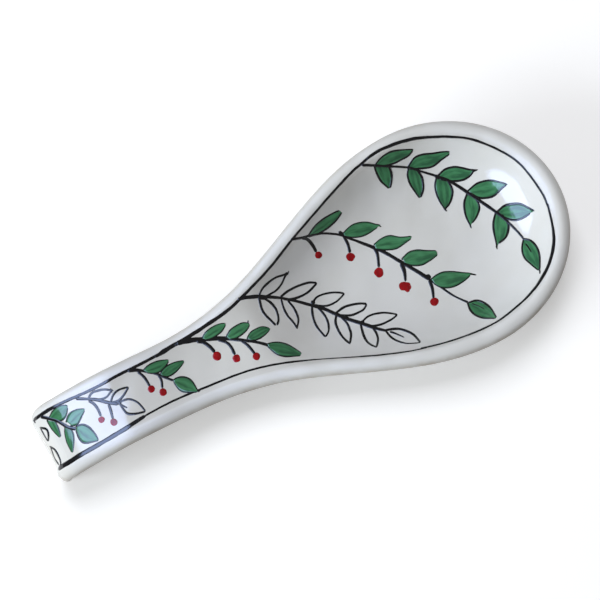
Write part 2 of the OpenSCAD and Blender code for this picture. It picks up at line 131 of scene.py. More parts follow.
clay = smooth_pottery("clay_body", "clay_casting", clay_corner)
clay_material, tree, surface = new_material("bare_stoneware")
place = object_place(tree)
grain = noise_at(tree, place, *clay_grain)
grog = noise_at(tree, place, *clay_grog)
tree.links.new(ramp(tree, grog, clay_tones), surface.inputs["Base Color"])
surface.inputs["Roughness"].default_value = clay_roughness
bump = tree.nodes.new("ShaderNodeBump")
bump.inputs["Strength"].default_value = clay_bump
bump.inputs["Distance"].default_value = clay_bump_depth
tree.links.new(grain, bump.inputs["Height"])
tree.links.new(bump.outputs["Normal"], surface.inputs["Normal"])
clay.data.materials.append(clay_material)
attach(clay, "root")
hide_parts("clay_body")


# ---- The glaze ----
# An off-white tin glaze, poured and dipped, so it is thick and glossy in the bowl, wavers a little
# in its gloss, breaks thin and warm over the rim's outer shoulder, and holds a few iron specks.
# The dark warm tint on that turned-down shoulder is partly thin glaze and partly painted shade.

glaze_corner = math.radians(50)
glaze_white = (0.690, 0.700, 0.700, 1)
glaze_warm = (0.660, 0.665, 0.650, 1)
# The shoulder's dark warm tint: partly thin glaze, partly painted shade where the rim turns away
# from the light
glaze_thin_shade = (0.36, 0.32, 0.27, 1)
glaze_speck = (0.12, 0.10, 0.085, 1)
glaze_tones = [(0.35, glaze_warm), (0.65, glaze_white)]
glaze_clouds = (38, 3)
glaze_roughness = 0.07
gloss_patches = (90, 2)
gloss_patchiness = 0.06
glaze_index = 1.62
glaze_waver = 0.8
waver_lumps = (55, 1)
waver_depth = 0.0012
glaze_dimples = 0.22
dimple_lumps = (650, 2)
dimple_depth = 0.00012
# How much rougher the glaze is on a sharp bend, and the bend per metre that counts as sharp
rim_satin = 0.34
rim_curve = 160
# Glaze that faces up less than this runs thin on a bend and is painted darker as shade, fully so
# this much further round
shoulder_up = 0.93
shoulder_fade = 0.60
thin_clouds = (120, 3)
thin_patches = [(0.3, (0.35, 0.35, 0.35, 1)), (0.7, (1, 1, 1, 1))]
speck_cells = 62
speck_rarity = 0.62
speck_fade = [(0.0, (0.8, 0.8, 0.8, 1)), (0.028, (0, 0, 0, 1))]
# Where a colour mix has its factor and its two colours among its sockets
mix_sockets = (0, 6, 7)


def ripple_group():
    """The glaze's slow waver and fine dimpling, as a normal, and its patchy gloss."""
    group = bpy.data.node_groups.new("glaze_ripple", "ShaderNodeTree")
    for name, value in (
        ("Waver", glaze_waver), ("Dimples", glaze_dimples), ("Gloss", glaze_roughness),
    ):
        socket = group.interface.new_socket(name, in_out="INPUT", socket_type="NodeSocketFloat")
        socket.default_value = value
    group.interface.new_socket("Normal", in_out="OUTPUT", socket_type="NodeSocketVector")
    group.interface.new_socket("Roughness", in_out="OUTPUT", socket_type="NodeSocketFloat")
    inward = group.nodes.new("NodeGroupInput")
    outward = group.nodes.new("NodeGroupOutput")
    where = object_place(group)
    slow = group.nodes.new("ShaderNodeBump")
    slow.inputs["Distance"].default_value = waver_depth
    group.links.new(inward.outputs["Waver"], slow.inputs["Strength"])
    group.links.new(noise_at(group, where, *waver_lumps), slow.inputs["Height"])
    fine = group.nodes.new("ShaderNodeBump")
    fine.inputs["Distance"].default_value = dimple_depth
    group.links.new(inward.outputs["Dimples"], fine.inputs["Strength"])
    group.links.new(noise_at(group, where, *dimple_lumps), fine.inputs["Height"])
    group.links.new(slow.outputs["Normal"], fine.inputs["Normal"])
    group.links.new(fine.outputs["Normal"], outward.inputs["Normal"])
    patch = group.nodes.new("ShaderNodeMath")
    patch.operation = "MULTIPLY_ADD"
    patch.inputs[1].default_value = gloss_patchiness
    group.links.new(noise_at(group, where, *gloss_patches), patch.inputs[0])
    group.links.new(inward.outputs["Gloss"], patch.inputs[2])
    group.links.new(patch.outputs["Value"], outward.inputs["Roughness"])


def add_ripple(tree, surface):
    """Gives a material the glaze's waver, so that paint and glaze shine as one surface."""
    node = tree.nodes.new("ShaderNodeGroup")
    node.node_tree = bpy.data.node_groups["glaze_ripple"]
    node.inputs["Waver"].default_value = glaze_waver
    node.inputs["Dimples"].default_value = glaze_dimples
    node.inputs["Gloss"].default_value = glaze_roughness
    surface.inputs["IOR"].default_value = glaze_index
    tree.links.new(node.outputs["Normal"], surface.inputs["Normal"])
    tree.links.new(node.outputs["Roughness"], surface.inputs["Roughness"])


def read_attribute(tree, name):
    """What a mesh holds under this name, as a number."""
    node = tree.nodes.new("ShaderNodeAttribute")
    node.attribute_name = name
    return node.outputs["Fac"]


def mix_colours(tree, factor, first, second):
    """A mix of two colours, each a socket or a plain colour, by a socket or a number."""
    node = tree.nodes.new("ShaderNodeMix")
    node.data_type = "RGBA"
    factor_in, first_in, second_in = (node.inputs[k] for k in mix_sockets)
    for socket, value in ((factor_in, factor), (first_in, first), (second_in, second)):
        if isinstance(value, bpy.types.NodeSocket):
            tree.links.new(value, socket)
        else:
            socket.default_value = value
    return node.outputs[2]


glaze = smooth_pottery("glaze_coat", "tin_glaze", glaze_corner)
bends = [0.0] * len(glaze.data.vertices)
for edge in glaze.data.edges:
    start, end = (glaze.data.vertices[k] for k in edge.vertices)
    run = end.co - start.co
    bend = (end.normal - start.normal).dot(run) / max(run.length_squared, weld * weld)
    for k in edge.vertices:
        bends[k] = max(bends[k], min(bend / rim_curve, 1.0))
turned = [
    min(max((shoulder_up - vertex.normal.z) / shoulder_fade, 0.0), 1.0)
    for vertex in glaze.data.vertices
]
# Mask for the dark warm shoulder, where the glaze bends and turns down: thin glaze and painted
# shade
shoulder = [bend * turn for bend, turn in zip(bends, turned)]
glaze.data.attributes.new("rim_bend", "FLOAT", "POINT").data.foreach_set("value", bends)
glaze.data.attributes.new("shoulder_thin_shade", "FLOAT", "POINT").data.foreach_set("value", shoulder)

ripple_group()
glaze_material, tree, surface = new_material("glossy_tin_glaze")
place = object_place(tree)
tone = ramp(tree, noise_at(tree, place, *glaze_clouds), glaze_tones)
thin_patch = tree.nodes.new("ShaderNodeMath")
thin_patch.operation = "MULTIPLY"
tree.links.new(read_attribute(tree, "shoulder_thin_shade"), thin_patch.inputs[0])
patches = ramp(tree, noise_at(tree, place, *thin_clouds), thin_patches)
tree.links.new(patches, thin_patch.inputs[1])
# Painted shade, partly thin glaze: the turned-down shoulder is darkened towards a warm brown
tone = mix_colours(tree, thin_patch.outputs["Value"], tone, glaze_thin_shade)
cells = tree.nodes.new("ShaderNodeTexVoronoi")
cells.inputs["Scale"].default_value = speck_cells
tree.links.new(place, cells.inputs["Vector"])
chosen = tree.nodes.new("ShaderNodeSeparateColor")
tree.links.new(cells.outputs["Color"], chosen.inputs["Color"])
rare = tree.nodes.new("ShaderNodeMath")
rare.operation = "GREATER_THAN"
rare.inputs[1].default_value = speck_rarity
tree.links.new(chosen.outputs["Red"], rare.inputs[0])
dot = ramp(tree, cells.outputs["Distance"], speck_fade)
speck = tree.nodes.new("ShaderNodeMath")
speck.operation = "MULTIPLY"
tree.links.new(dot, speck.inputs[0])
tree.links.new(rare.outputs["Value"], speck.inputs[1])
tone = mix_colours(tree, speck.outputs["Value"], tone, glaze_speck)
tree.links.new(tone, surface.inputs["Base Color"])
add_ripple(tree, surface)
satin = tree.nodes.new("ShaderNodeMath")
satin.operation = "MULTIPLY_ADD"
satin.inputs[1].default_value = rim_satin
tree.links.new(read_attribute(tree, "rim_bend"), satin.inputs[0])
tree.links.new(surface.inputs["Roughness"].links[0].from_socket, satin.inputs[2])
tree.links.new(satin.outputs["Value"], surface.inputs["Roughness"])
glaze.data.materials.append(glaze_material)
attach(glaze, "root")
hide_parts("glaze_coat")


# ---- The border line ----
# A long-haired brush, loaded with black underglaze, was drawn along both sides of the handle and
# round the bowl in a few pulls, which overlap, swell where it was pressed and thin as it ran dry.
# The brushwork was read off the photograph stroke by stroke, so its camera comes first.

frame_px = 600
pixel_middle = 0.5
focal_px = 1511.9
camera_turn = math.radians(28.74)
camera_tilt = math.radians(75)
camera_reach = 0.650
camera_aim = Vector((0.00272, 0.00914, 0))
away = Vector((math.sin(camera_turn), math.cos(camera_turn), 0))
camera_right = Vector((math.cos(camera_turn), -math.sin(camera_turn), 0))
camera_ahead = away * math.cos(camera_tilt) - Vector((0, 0, 1)) * math.sin(camera_tilt)
camera_up = camera_right.cross(camera_ahead)
camera_eye = camera_aim - camera_ahead * camera_reach

black_deep = (0.0020, 0.0024, 0.0040, 1)
black_dry = (0.006, 0.007, 0.011, 1)
# The streaks of a paint: their stretch across the pull, their fineness and their strength
line_streaks = (2.0, 0.45, 0.55)
# How far apart the streaks of one pull and the next start
line_load = 3.7

# The paint: how thick it lies, how far its skirt reaches into the glaze, and its share at the edge
film = 0.00005
film_skirt = 0.00009
film_edge = 0.25
# A stroke: its steps along in pixels, its lanes across, and how its edge wavers
stroke_step = 1.2
stroke_lanes = 4
half_grid = 0.5
fewest_steps = 4
curve_parts = 12
least_reach = 1e-9
least_tip = 0.01
blunt_tip = 0.12
edge_waver = 0.22
waver_scale = 0.11
waver_lanes = 2
seed_across, seed_down = 0.37, 0.11
# Where the glaze faces up less than this, a stroke is laid along it, fully so this much further on
steep_from = 0.90
steep_span = 0.25
heading_step = 0.5
# The streaks in a stroke, and the edge where the paint pooled
streak_detail = 3
streak_tones = [(0.38, (0, 0, 0, 1)), (0.68, (1, 1, 1, 1))]
pooled_tones = [(0.72, (0, 0, 0, 1)), (1.0, (1, 1, 1, 1))]

# Each pull: the pixels that it passes through, and its widths in pixels along the way
line_strokes = [
    ([(32.6, 420.4), (38, 416), (48, 409.5), (56, 405), (64, 401)], [3.2, 3.8, 3.6, 3.0]),
    ([(58, 404), (70, 398.5), (85, 392), (100, 384.5), (115, 376), (130, 368.5), (145, 361),
      (160, 353)], [3.2, 3.0, 3.0, 3.2, 2.8]),
    ([(154, 356.5), (160, 353), (170, 346.8), (180, 341)], [3.0, 4.6, 4.4, 3.6]),
    ([(174, 344.5), (190, 335), (210, 322), (225, 311.5), (238, 300), (250, 288), (270, 266.5),
      (290, 241), (310, 217.5), (330, 194.5), (350, 172.8), (360, 164), (370, 155.5),
      (380, 149.3)], [4.2, 3.8, 3.0, 2.6, 2.4, 2.6, 3.0]),
    ([(366, 158.5), (378, 150.3), (390, 145.2), (400, 141.5), (415, 138), (430, 136.6),
      (450, 136.2), (470, 138.5), (490, 145.5), (510, 156), (520, 164), (528, 173),
      (536, 184), (543, 195), (548, 207)], [2.6, 3.6, 2.8, 2.4, 2.2, 2.2, 2.2]),
    ([(547, 203), (551, 220), (553, 232), (553, 245), (549, 262), (540, 280), (530, 293),
      (520, 303), (500, 319), (480, 329.5), (460, 337.2), (440, 343.4), (420, 348)],
     [2.0, 3.4, 3.6, 3.0, 2.6, 2.4, 2.4]),
    ([(427, 347), (410, 350.5), (390, 353.2), (370, 355.3), (340, 357.3), (310, 359.4),
      (290, 361.6), (270, 364.8), (250, 369.6), (230, 376.6), (210, 384.8), (190, 392.8),
      (170, 401.7), (150, 412.3), (138, 419.5)], [1.8, 2.6, 2.2, 2.0, 2.2, 2.2, 2.0]),
    ([(145, 415), (130, 424.8), (120, 431), (110, 437.3), (100, 443), (90, 448.7), (80, 454.5),
      (70, 460.5), (60, 467), (57.6, 469.2)], [3.4, 4.6, 4.4, 4.6, 5.0, 4.8]),
    ([(32.8, 419.8), (35.2, 422.6)], [2.0, 1.6]),
]

glaze_tree = BVHTree.FromPolygons(
    [vertex.co.copy() for vertex in glaze.data.vertices],
    [tuple(face.vertices) for face in glaze.data.polygons],
)


def on_glaze(spot, lift):
    """The point of the glaze that the photograph shows at this pixel, raised along its normal."""
    ray = (
        camera_ahead
        + camera_right * ((spot[0] + pixel_middle - frame_px / 2) / focal_px)
        - camera_up * ((spot[1] + pixel_middle - frame_px / 2) / focal_px)
    ).normalized()
    point, normal, _, _ = glaze_tree.ray_cast(camera_eye, ray)
    if point is None:
        middle = camera_eye + ray * camera_reach
        point, normal, _, _ = glaze_tree.find_nearest(middle)
    if normal.z < 0:
        normal = -normal
    return point + normal * lift


def beside_pull(here, run, reach, lift):
    """A point to one side of a pull, which keeps its width where the glaze turns down."""
    side = Vector((-run.y, run.x)).normalized()
    seen = on_glaze(here + side * reach, lift)
    base, facing, _, _ = glaze_tree.find_nearest(on_glaze(here, 0))
    steep = min(max((steep_from - facing.z) / steep_span, 0.0), 1.0)
    if steep == 0:
        return seen
    step_on = run.normalized() * heading_step
    across = facing.cross(on_glaze(here + step_on, 0) - on_glaze(here - step_on, 0)).normalized()
    if across.dot(camera_right) * side.x - across.dot(camera_up) * side.y < 0:
        across = -across
    laid = base + across * reach * camera_reach / focal_px
    point, facing, _, _ = glaze_tree.find_nearest(seen.lerp(laid, steep))
    return point + facing * lift


def curve_through(spots, count):
    """Evenly spaced pixels on a smooth curve through the spots."""
    spots = [Vector(spot) for spot in spots]
    if len(spots) == 2:
        spots.insert(1, (spots[0] + spots[1]) / 2)
    fine = []
    for k in range(len(spots) - 1):
        before = spots[k - 1] if k else spots[0] * 2 - spots[1]
        start, end = spots[k], spots[k + 1]
        after = spots[k + 2] if k + 2 < len(spots) else end * 2 - start
        for part in range(curve_parts):
            t = part / curve_parts
            fine.append(
                (start * 2 + (end - before) * t + (before * 2 - start * 5 + end * 4 - after) * t * t
                 + (start * 3 - before - end * 3 + after) * t ** 3) / 2
            )
    fine.append(spots[-1])
    reach = [0.0]
    for k in range(1, len(fine)):
        reach.append(reach[-1] + (fine[k] - fine[k - 1]).length)
    even = []
    k = 0
    for step in range(count + 1):
        goal = reach[-1] * step / count
        while k < len(reach) - 2 and reach[k + 1] < goal:
            k += 1
        share = (goal - reach[k]) / max(reach[k + 1] - reach[k], least_reach)
        even.append(fine[k].lerp(fine[k + 1], min(max(share, 0), 1)))
    return even, reach[-1]


def along_list(values, share):
    """The value at this share of the way along a list of values."""
    if len(values) == 1:
        return values[0]
    place = share * (len(values) - 1)
    k = min(int(place), len(values) - 2)
    return values[k] + (values[k + 1] - values[k]) * (place - k)


def start_paint():
    """An empty mesh with what the brush leaves: how far along, how far across, and how loaded."""
    paint = bmesh.new()
    return paint, [paint.verts.layers.float.new(name) for name in ("along", "across", "load")]


def brush(paint, layers, spots, widths, load, thickness=film, ends=1.0):
    """One pull of the brush: a strip with round ends and a slightly unsteady edge."""
    _, length = curve_through(spots, 2)
    count = max(fewest_steps, round(length / stroke_step))
    middle, _ = curve_through(spots, count)
    made = bmesh.ops.create_grid(paint, x_segments=count, y_segments=stroke_lanes, size=half_grid)
    seed = spots[0][0] * seed_across + spots[-1][1] * seed_down
    for vertex in made["verts"]:
        step = round((vertex.co.x + half_grid) * count)
        lane = vertex.co.y * 2
        here = middle[step]
        run = middle[min(step + 1, count)] - middle[max(step - 1, 0)]
        width = along_list(widths, step / count)
        inset = min(step, count - step) * length / count
        tip = max(width / 2 * ends, least_tip)
        if inset < tip:
            width *= max(blunt_tip, math.sqrt(1 - (1 - inset / tip) ** 2))
        waver = noise.noise(
            Vector((here.x * waver_scale, here.y * waver_scale, seed + lane * waver_lanes))
        )
        reach = lane * width / 2 * (1 + edge_waver * waver)
        lift = thickness * (film_edge + (1 - film_edge) * (1 - lane * lane))
        vertex.co = beside_pull(here, run, reach, lift)
        vertex[layers[0]] = step * length / count
        vertex[layers[1]] = lane
        vertex[layers[2]] = load


def finish_paint(paint, name, material, node):
    """Gives the strokes their thickness and sets the piece in place of its node."""
    for face in paint.faces:
        face.smooth = True
    mesh = bpy.data.meshes.new(name)
    bmesh.ops.recalc_face_normals(paint, faces=paint.faces)
    paint.to_mesh(mesh)
    paint.free()
    if sum(polygon.normal.z * polygon.area for polygon in mesh.polygons) < 0:
        mesh.flip_normals()
    piece = bpy.data.objects.new(name, mesh)
    bpy.context.collection.objects.link(piece)
    body = piece.modifiers.new("film", "SOLIDIFY")
    body.thickness = film_skirt
    body.offset = -1
    mesh.materials.append(material)
    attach(piece, "root")
    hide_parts(node)


def streak_group():
    """What a brush leaves in paint: streaks along the pull, and how thin the colour is."""
    group = bpy.data.node_groups.new("brush_streaks", "ShaderNodeTree")
    for name, value in zip(("Stretch", "Fineness", "Strength"), line_streaks):
        socket = group.interface.new_socket(name, in_out="INPUT", socket_type="NodeSocketFloat")
        socket.default_value = value
    group.interface.new_socket("Thin", in_out="OUTPUT", socket_type="NodeSocketFloat")
    group.interface.new_socket("Edge", in_out="OUTPUT", socket_type="NodeSocketFloat")
    inward = group.nodes.new("NodeGroupInput")
    outward = group.nodes.new("NodeGroupOutput")
    across = read_attribute(group, "across")
    lane = group.nodes.new("ShaderNodeMath")
    lane.operation = "MULTIPLY"
    group.links.new(across, lane.inputs[0])
    group.links.new(inward.outputs["Stretch"], lane.inputs[1])
    pull = group.nodes.new("ShaderNodeCombineXYZ")
    group.links.new(read_attribute(group, "along"), pull.inputs["X"])
    group.links.new(lane.outputs["Value"], pull.inputs["Y"])
    group.links.new(read_attribute(group, "load"), pull.inputs["Z"])
    streaks = group.nodes.new("ShaderNodeTexNoise")
    streaks.inputs["Detail"].default_value = streak_detail
    group.links.new(pull.outputs["Vector"], streaks.inputs["Vector"])
    group.links.new(inward.outputs["Fineness"], streaks.inputs["Scale"])
    strong = group.nodes.new("ShaderNodeMath")
    strong.operation = "MULTIPLY"
    strong.use_clamp = True
    spread = ramp(group, streaks.outputs["Fac"], streak_tones)
    group.links.new(spread, strong.inputs[0])
    group.links.new(inward.outputs["Strength"], strong.inputs[1])
    group.links.new(strong.outputs["Value"], outward.inputs["Thin"])
    rim = group.nodes.new("ShaderNodeMath")
    rim.operation = "ABSOLUTE"
    group.links.new(across, rim.inputs[0])
    pooled = ramp(group, rim.outputs["Value"], pooled_tones)
    group.links.new(pooled, outward.inputs["Edge"])


def add_streaks(tree, stretch, fineness, strength):
    """Places the streaks in a material and gives back their two masks."""
    node = tree.nodes.new("ShaderNodeGroup")
    node.node_tree = bpy.data.node_groups["brush_streaks"]
    node.inputs["Stretch"].default_value = stretch
    node.inputs["Fineness"].default_value = fineness
    node.inputs["Strength"].default_value = strength
    return node.outputs["Thin"], node.outputs["Edge"]


streak_group()
line_black, tree, surface = new_material("black_line_underglaze")
thin, _ = add_streaks(tree, *line_streaks)
tone = mix_colours(tree, thin, black_deep, black_dry)
tree.links.new(tone, surface.inputs["Base Color"])
add_ripple(tree, surface)

paint, layers = start_paint()
for k, (spots, widths) in enumerate(line_strokes):
    brush(paint, layers, spots, widths, k * line_load)
finish_paint(paint, "border_brush_line", line_black, "border_line")


# ---- The stems and berry stalks ----
# Each sprig starts from the border line with one curved pull for its stem. The berry stalks are
# short flicks off it, and where the brush was set down again it left a small knot.

stem_film = 0.00007
stem_weight = 1.15
stem_streaks = (1.6, 0.7, 0.35)
stem_load = 5.3

# Each sprig's pulls: the stem first, then the knots and the berry stalks
stem_strokes = {
    "bowl_back_sprig": [
        ([(361, 164.5), (375, 165), (391, 166), (408, 167), (418, 170), (437, 176), (450, 181),
          (467, 192), (481, 201.5), (496, 212), (508, 222), (516, 230), (523, 238)],
         [2.4, 1.8, 1.8, 2.2, 2.8, 3.0, 2.4, 1.8]),
        ([(434, 175), (440, 177.5)], [3.2]),
        ([(494, 211), (499, 213.5)], [3.2]),
    ],
    "bowl_middle_sprig": [
        ([(290, 239), (300, 237.5), (310, 235), (322, 233), (334, 233.5), (341, 235), (352, 239),
          (364, 243.5), (378, 249), (388, 254), (398, 260), (412, 268), (420, 273), (430, 279)],
         [2.4, 2.2, 1.8, 2.2, 3.2, 3.2, 3.4, 3.6]),
        ([(426, 277), (441, 287), (452, 294.5), (461, 299), (468, 302)], [2.4, 2.2, 1.8, 2.0]),
        ([(338, 231), (341, 233), (344, 235.5)], [3.2]),
        ([(426, 274), (430, 278.5)], [4.2]),
        ([(301, 238), (307, 239), (312, 244.5), (316, 252)], [1.6, 3.0, 3.4, 2.6]),
        ([(342, 234), (347, 243), (349.5, 252.5)], [2.0, 2.8, 3.0]),
        ([(373, 246), (377, 254), (378.5, 267)], [3.6, 2.8, 2.4]),
        ([(401, 262), (404, 272), (405, 281)], [4.6, 3.2, 2.2]),
        ([(429, 279), (432, 289), (433, 298)], [3.4, 2.8, 2.2]),
    ],
    "neck_open_sprig": [
        ([(237, 299), (246, 297), (258, 296), (275, 297), (283, 298), (297, 301), (310, 304.5),
          (325, 309), (336, 314), (346, 318), (361, 323), (370, 326), (378, 328.5), (387, 330.5)],
         [3.4, 3.2, 2.6, 2.6, 3.0, 3.6, 3.4, 2.4]),
        ([(258, 296.5), (266, 297.5)], [4.0]),
        ([(311, 300), (314, 304)], [3.8]),
        ([(334, 312.5), (338, 314)], [4.4]),
        ([(360, 321), (364, 322.5)], [4.2]),
    ],
    "neck_berry_sprig": [
        ([(176, 343), (190, 340), (200, 339), (213, 338), (226, 338), (240, 339.5), (252, 341),
          (262, 343), (268, 345)], [4.6, 4.2, 4.0, 3.4, 2.6, 2.6]),
        ([(196, 341), (203, 342), (209, 346), (214.5, 352)], [2.4, 3.4, 3.2]),
        ([(217, 339.5), (226, 342), (231, 347), (234.5, 354.5)], [2.0, 3.0, 2.8]),
        ([(240, 340), (247, 344.5), (251.5, 349.5), (254.5, 353.5)], [1.8, 2.8, 2.6]),
    ],
    "handle_green_sprig": [
        ([(127, 370.5), (135, 369.5), (143, 370.5), (152, 372), (158, 374), (165, 377), (173, 380)],
         [3.4, 2.8, 2.8, 2.4, 2.4]),
        ([(137, 371), (142, 375), (146, 380), (149.5, 386)], [2.6, 2.6, 2.2]),
        ([(158, 374), (161, 380), (161.8, 388)], [2.6, 2.4, 2.0]),
    ],
    "handle_open_sprig": [
        ([(75, 398), (85, 398.5), (95, 399), (105, 401.5), (118, 403.5)], [2.6, 2.6, 3.0, 3.0]),
        ([(88, 400), (94, 404), (98, 410), (100.5, 416)], [2.4, 2.6, 2.4]),
        ([(108, 403), (110, 409), (112.5, 418.5)], [2.4, 2.6, 2.2]),
        ([(116, 401.5), (121, 403)], [3.4]),
    ],
    "handle_end_sprig": [
        ([(40, 416), (48, 418), (57, 420.5), (63, 424), (68, 427), (76, 428.5)],
         [3.0, 2.6, 2.6, 2.8, 3.2]),
    ],
}

stem_black, tree, surface = new_material("black_stem_underglaze")
thin, _ = add_streaks(tree, *stem_streaks)
tone = mix_colours(tree, thin, black_deep, black_dry)
tree.links.new(tone, surface.inputs["Base Color"])
add_ripple(tree, surface)

paint, layers = start_paint()
for k, strokes in enumerate(stem_strokes.values()):
    for n, (spots, widths) in enumerate(strokes):
        widths = [width * stem_weight for width in widths]
        brush(paint, layers, spots, widths, k * stem_load + n, stem_film)
finish_paint(paint, "sprig_stem_strokes", stem_black, "sprig_stems")


# ---- The leaf outlines ----
# Every leaf is two fine curved pulls from the stem to the tip, which often cross or overshoot
# there. Some leaves were left open, and the rest were filled with green.

outline_film = 0.00006
outline_widths = [0.95, 1.05, 1.05, 0.95, 0.85]
outline_overlap = 1.5
outline_ends = 0.6
outline_streaks = (1.2, 0.5, 0.6)
outline_load = 2.3
flick_load = 1.9
press_seed = 11
press_range = (0.92, 1.12)

# How heavily each sprig's leaves were outlined
outline_weights = {
    "back": 2.1, "middle": 2.1, "open": 2.3, "neck": 2.1, "handle": 2.3, "end": 1.9, "fold": 2.3,
}

